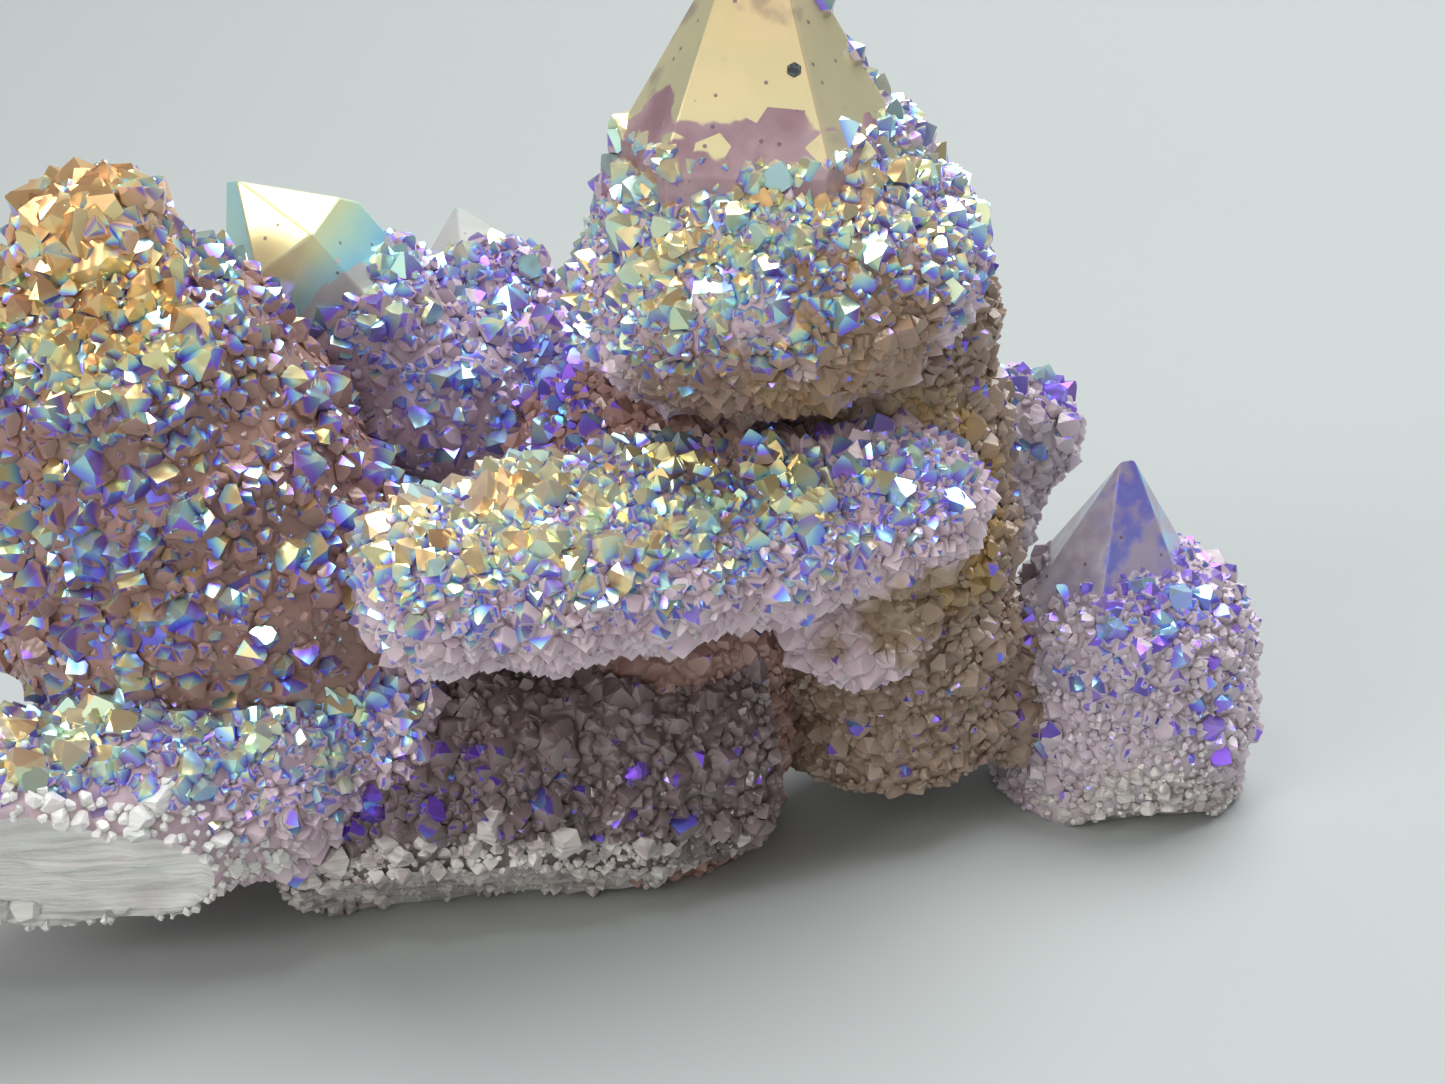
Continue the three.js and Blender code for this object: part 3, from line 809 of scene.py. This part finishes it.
tipWays = {  # each bare tip's stone, its metal and how much of it, its patches' edge and size, and the dirt
    "tallCollar": {
        "stone": quartz, "colour": "purple", "metal": {"Metallic": 0.45, "Roughness": 0.24}, "most": 0.74,
        "fade": 0.06, "patch": 170.0, "dirt": 0.5, "dull": 0.1},
    "brightPoint": {
        **hazyTip, "colour": "clear", "metal": {"Metallic": 0.3, "Roughness": 0.2}, "most": 0.95, "dirt": 0},
    "palePoint": {**hazyTip, "colour": "clear", "dirt": 0},
    "violetPoint": {
        **hazyTip, "metal": {"Metallic": 0.5, "Roughness": 0.2}, "most": 0.8, "fade": 0.16, "patch": 560.0,
        "dirt": 0.1},
    "rearPoint": hazyTip,
    "rearLeft": hazyTip,
}


def coatedQuartz(maker, cover, film, bare, grit, under, over):  # the coating over bare quartz
    colour = maker.add("ShaderNodeValToRGB", {"stops": filmStops}, {0: film})
    stone = maker.add("ShaderNodeBsdfPrincipled", inputs={"Base Color": bare, "Normal": grit, **under})
    metal = maker.add("ShaderNodeBsdfPrincipled", inputs={"Base Color": colour, **over})
    return maker.add("ShaderNodeMixShader", inputs={0: cover, 1: stone, 2: metal})


def weighed(parts, weights):  # a sum of marks and patterns by their weights
    total = weights["start"]
    for name, part in parts.items():
        if name in weights:
            total = part * weights[name] + total
    return total


# The patterns of the jackets: their scales per metre, and what drives the coating, its film and the stone.
druseWays = {
    "drift": 260.0, "patches": 330.0, "grit": 2600.0, "waves": 1300.0,
    "gritDepth": 0.2, "waveDepth": 0.25, "relief": 0.0002,
    "above": {"rise": 0.8, "coat": 1.05, "facing": 0.35, "facet": 0.45, "drift": 0.5, "start": -1.225},
    "edge": (-0.06, 0.04), "cover": {"facet": 0.24, "start": 0.68},
    "lit": {"facing": 0.75, "start": 0.4}, "byLight": {"lit": 0.6, "start": 0.4},
    "byCover": {"above": 2.1, "start": 0.06}, "filmSpread": {"facet": 0.14, "drift": 0.16, "start": -0.15},
    # pale: lighter up each crystal towards its tip as painted light shining through it, darker at its foot
    # and on the body between crystals as painted shade; grain and drift vary the tone at random.
    "pale": {"rise": 0.6, "grain": 0.35, "drift": 0.5, "start": -0.2},
    "stainAndShade": 0.85, "stainEdge": {"patches": 1.4, "start": 0.3}, "stainFade": 0.45}


def druseMaterial(name, skin):
    maker = Maker(name)
    parts = {mark: maker.mark(mark) for mark in ("rise", "coat", "film", "grain", "facet", "facing")}
    parts["drift"] = maker.clouds(druseWays["drift"])
    parts["patches"] = maker.clouds(druseWays["patches"])
    parts["above"] = weighed(parts, druseWays["above"])
    parts["lit"] = weighed(parts, druseWays["lit"]).held()
    shown = parts["film"] * weighed(parts, druseWays["byLight"]) * weighed(parts, druseWays["byCover"]).held()
    shown = shown + weighed(parts, druseWays["filmSpread"])
    # The bare stone: paler towards crystal tips as painted light, darker at their feet and between them as
    # painted shade.
    bare = maker.blend(weighed(parts, druseWays["pale"]).held(), skin["deep"], skin["pale"])
    # Iron stains, the recess one darkened as painted shade.
    for stainAndShade in skin["stainsAndShade"]:
        off = maker.add("ShaderNodeVectorMath", {"operation": "DISTANCE"}, {
            0: maker.place(), 1: tuple(v * mm for v in stainAndShade["at"])}, output=1)
        share = weighed(parts, druseWays["stainEdge"]) - off * (1 / (stainAndShade["reach"] * mm))
        share = share.step(0.0, druseWays["stainFade"]) * druseWays["stainAndShade"]
        bare = maker.blend(share, bare, stainAndShade["colour"])
    grit = maker.bump(maker.clouds(druseWays["grit"], 0.0), druseWays["gritDepth"], druseWays["relief"])
    waves = maker.bump(maker.clouds(druseWays["waves"], 0.0), druseWays["waveDepth"], druseWays["relief"])
    cover = parts["above"].step(*druseWays["edge"]) * weighed(parts, druseWays["cover"])
    metal = {**plating, "Normal": waves}
    return maker.finish(coatedQuartz(maker, cover, shown.held(), bare, grit, quartz, metal))


# The patterns of the bare tips: their scales per metre, what drives the coating, its film and the dirt, and
# the absorption of clear quartz.
tipMarks = {
    "flakes": 420.0, "specks": 800.0, "smudges": 330.0, "grit": 900.0, "gritDepth": 0.15, "relief": 0.0002,
    "cover": {"rise": 0.4, "coat": 0.9, "drift": 1.2, "start": -0.9}, "coverEdge": 0.26,
    "ragged": {"rise": 1, "flake": -0.17, "drift": 0.4, "start": -0.2}, "raggedEdge": (0.13, 0.145),
    "thickens": (0.1, 0.6), "filmSpread": {"drift": 0.2, "start": -0.1}, "pale": (0.35, 0.65),
    "speckEdge": (0.07, 0.13), "smudge": {"rise": 0.1, "smudges": 1, "start": -0.06},
    "smudgeEdge": (0.56, 0.70), "dirt": (0.13, 0.07, 0.12), "dirtCover": 0.8,
    "absorbed": (0.86, 0.80, 0.90), "density": 120.0}


def tipMaterial(name, skin, ways):
    maker = Maker(name)
    parts = {mark: maker.mark(mark) for mark in ("rise", "coat", "filmTop", "filmFoot")}
    flakes = maker.add("ShaderNodeTexVoronoi", inputs={
        "Vector": maker.place(), "Scale": tipMarks["flakes"]}, output="Color")
    parts["flake"] = maker.add("ShaderNodeSeparateColor", inputs={0: flakes}, output=0)
    parts["drift"] = maker.clouds(ways["patch"], 4.0)
    parts["smudges"] = maker.clouds(tipMarks["smudges"], 5.0)
    rise, edge, fade = parts["rise"], tipMarks["coverEdge"], ways["fade"]
    cover = weighed(parts, tipMarks["cover"]).step(edge - fade, edge + fade)
    cover = cover * weighed(parts, tipMarks["ragged"]).step(*tipMarks["raggedEdge"])
    shown = parts["filmFoot"] + (parts["filmTop"] - parts["filmFoot"]) * rise.step(*tipMarks["thickens"])
    shown = (shown + weighed(parts, tipMarks["filmSpread"])).held()
    bare = maker.blend(parts["drift"].step(*tipMarks["pale"]), skin["deep"], skin["pale"])
    grit = maker.bump(maker.clouds(tipMarks["grit"]), tipMarks["gritDepth"], tipMarks["relief"])
    dressed = coatedQuartz(maker, cover * ways["most"], shown, bare, grit, ways["stone"], ways["metal"])
    specks = maker.add("ShaderNodeTexVoronoi", inputs={
        "Vector": maker.place(), "Scale": tipMarks["specks"]}, output="Distance")
    smudge = weighed(parts, tipMarks["smudge"]).step(*tipMarks["smudgeEdge"]) * ways["dirt"] + ways["dull"]
    share = (1.0 - specks.step(*tipMarks["speckEdge"]) + smudge).held() * tipMarks["dirtCover"]
    dirt = maker.add("ShaderNodeBsdfPrincipled", inputs={
        "Base Color": (*tipMarks["dirt"], 1.0), "Roughness": 0.5})
    inside = maker.add("ShaderNodeVolumeAbsorption", inputs={
        "Color": (*tipMarks["absorbed"], 1.0), "Density": tipMarks["density"]})
    surface = maker.add("ShaderNodeMixShader", inputs={0: share, 1: dressed, 2: dirt})
    return maker.finish(surface, inside if ways["stone"] is clear else None)


# The broken faces: their stone, and the streaks in it, with scales per metre. The crusted stone is greyer
# than the milky one as painted shade, for broken faces that lie in shade.
brokenStone = {
    "milky": {"deep": (0.82, 0.78, 0.78), "pale": (0.97, 0.96, 0.93)},
    # Crusted and darkened as painted shade: the broken faces other than the low left one.
    "crusted": {"deep": (0.46, 0.40, 0.40), "pale": (0.80, 0.76, 0.73)},
}
silkWays = {
    "scale": (160.0, 500.0, 2600.0), "clouds": 350.0, "streakShare": 0.6, "cloudShare": 0.5,
    "edge": (0.4, 0.65), "depth": 0.5, "relief": 0.0006}


def breakMaterial(name, skin):
    maker = Maker(name)
    silk = maker.add("ShaderNodeMapping", inputs={"Vector": maker.place(), "Scale": silkWays["scale"]})
    streaks = maker.add("ShaderNodeTexNoise", inputs={"Vector": silk, "Scale": 1.0, "Detail": 4.0})
    share = streaks * silkWays["streakShare"] + maker.clouds(silkWays["clouds"], 3.0) * silkWays["cloudShare"]
    colour = maker.blend(share.step(*silkWays["edge"]), skin["deep"], skin["pale"])
    shader = maker.add("ShaderNodeBsdfPrincipled", inputs={
        "Base Color": colour, "Normal": maker.bump(streaks, silkWays["depth"], silkWays["relief"]), **quartz})
    return maker.finish(shader)


# A small dark grain grown into the tall tip's front face, in mm.
pit = {
    "in": "tallCollar", "side": 1, "aside": 2.49, "up": 5.1, "radius": 0.5, "taper": 0.6, "deep": 0.5,
    "proud": 0.04, "wear": 0.06, "mottle": 4000.0, "edge": (0.4, 0.6), "dark": (0.02, 0.03, 0.035),
    "light": (0.10, 0.11, 0.12)}


def pitBody():
    spec = points[pit["in"]]
    out, reach = tipFaces(spec)[pit["side"]]
    across = Vector((0, 0, 1)).cross(out).normalized()
    up = out.cross(across)
    height = spec["length"] + pit["up"]
    place = out * (reach + pit["proud"] - pit["deep"] / 2) + across * pit["aside"]
    place += up * ((height - reach * out.z) / up.z)
    bm = bmesh.new()
    bmesh.ops.create_cone(bm, cap_ends=True, segments=6, radius1=pit["radius"] * pit["taper"],
                          radius2=pit["radius"], depth=pit["deep"])
    bmesh.ops.bevel(bm, geom=bm.edges[:], offset=pit["wear"], offset_type="OFFSET", segments=1, profile=0.5,
                    affect="EDGES", material=-1)
    turn = Matrix.Translation(place) @ Matrix((across, up, out)).transposed().to_4x4()
    bmesh.ops.transform(bm, matrix=spec["frame"] @ turn, verts=bm.verts)
    return makePiece("darkGrain", bm, {}, [0.0] * len(bm.verts))


def grainMaterial():
    maker = Maker("dark grain")
    colour = maker.blend(maker.clouds(pit["mottle"]).step(*pit["edge"]), pit["dark"], pit["light"])
    return maker.finish(maker.add("ShaderNodeBsdfPrincipled", inputs={
        "Base Color": colour, "Roughness": 0.4}))


print("crystals and their coating")
draw = np.random.default_rng(7)
seeds = [crystalSeed(kind, draw) for kind in range(druse["kinds"])]
druseMaterials = {name: druseMaterial("quartz druse " + name, skin) for name, skin in skins.items()}
tipMaterials = {name: tipMaterial("bare quartz " + name, tipStone[ways["colour"]], ways)
                for name, ways in tipWays.items()}
breakMaterials = {name: breakMaterial(name + " broken quartz", skin) for name, skin in brokenStone.items()}
for name, spec in points.items():
    piece = growDruse(name, spec, seeds, draw)
    piece.data.materials.append(druseMaterials[spec["skin"]])
    piece.data.materials.append(breakMaterials["milky" if name == "lowLeft" else "crusted"])
print("bare tips")
for name in tips:
    dressTip(name, points[name]).data.materials.append(tipMaterials[name])
print("dark grain")
pitBody().data.materials.append(grainMaterial())

print("floor and lamps")
# The floor, sweeping up into a backdrop, in metres.
stage = {"width": 2.4, "front": -1.6, "back": 0.5, "height": 0.9, "sweep": 0.3,
         "colour": (0.445, 0.475, 0.475)}
bm = bmesh.new()
left = -stage["width"] / 2
chain = [bm.verts.new((left, stage["front"], 0)), bm.verts.new((left, stage["back"], 0)),
         bm.verts.new((left, stage["back"], stage["height"]))]
edges = [bm.edges.new(pair) for pair in zip(chain, chain[1:])]
bmesh.ops.bevel(bm, geom=[chain[1]], offset=stage["sweep"], segments=16, profile=0.5, affect="VERTICES",
                material=-1)
made = bmesh.ops.extrude_edge_only(bm, edges=bm.edges[:])
farSide = [v for v in made["geom"] if isinstance(v, bmesh.types.BMVert)]
bmesh.ops.translate(bm, vec=(stage["width"], 0, 0), verts=farSide)
bmesh.ops.recalc_face_normals(bm, faces=bm.faces)
mesh = bpy.data.meshes.new("floor")
bm.to_mesh(mesh)
bm.free()
for polygon in mesh.polygons:
    polygon.use_smooth = True
floor = bpy.data.objects.new("floor", mesh)
scene.collection.objects.link(floor)
paper = Maker("pale paper")
mesh.materials.append(paper.finish(paper.add("ShaderNodeBsdfPrincipled", inputs={
    "Base Color": (*stage["colour"], 1.0), "Roughness": 0.7})))

# Light: a large soft box above, a softer one in front, one at the left, and a small one for the glints,
# in metres and watts.
lamps = {
    "above": {"at": (0.2, 0.2, 0.68), "to": (0, 0, 0.02),
              "size": 0.62, "power": 6.6, "colour": (0.98, 0.99, 1.0)},
    "front": {"at": (-0.25, -0.85, 0.42), "to": (0, 0, 0.02),
              "size": 0.8, "power": 2.1, "colour": (1.0, 0.97, 0.93)},
    "spark": {"at": (-0.14, -0.2, 0.44), "to": (0, 0, 0.03),
              "size": 0.07, "power": 0.26, "colour": (1.0, 1.0, 1.0)},
    "left": {"at": (-0.4, -0.36, 0.33), "to": (0, 0, 0.03),
              "size": 0.2, "power": 1.0, "colour": (1.0, 0.98, 0.95)},
}
for name, lamp in lamps.items():
    light = bpy.data.lights.new(name, "AREA")
    light.shape = "SQUARE"
    light.size = lamp["size"]
    light.energy = lamp["power"]
    light.color = lamp["colour"]
    holder = bpy.data.objects.new(name, light)
    holder.location = lamp["at"]
    holder.rotation_euler = (Vector(lamp["to"]) - Vector(lamp["at"])).to_track_quat("-Z", "Y").to_euler()
    scene.collection.objects.link(holder)
room = {"colour": (0.90, 0.88, 0.85), "strength": 0.17}
world = bpy.data.worlds.new("room")
world.use_nodes = True
background = world.node_tree.nodes["Background"]
background.inputs["Color"].default_value = (*room["colour"], 1.0)
background.inputs["Strength"].default_value = room["strength"]
scene.world = world
scene.view_settings.view_transform = "Standard"
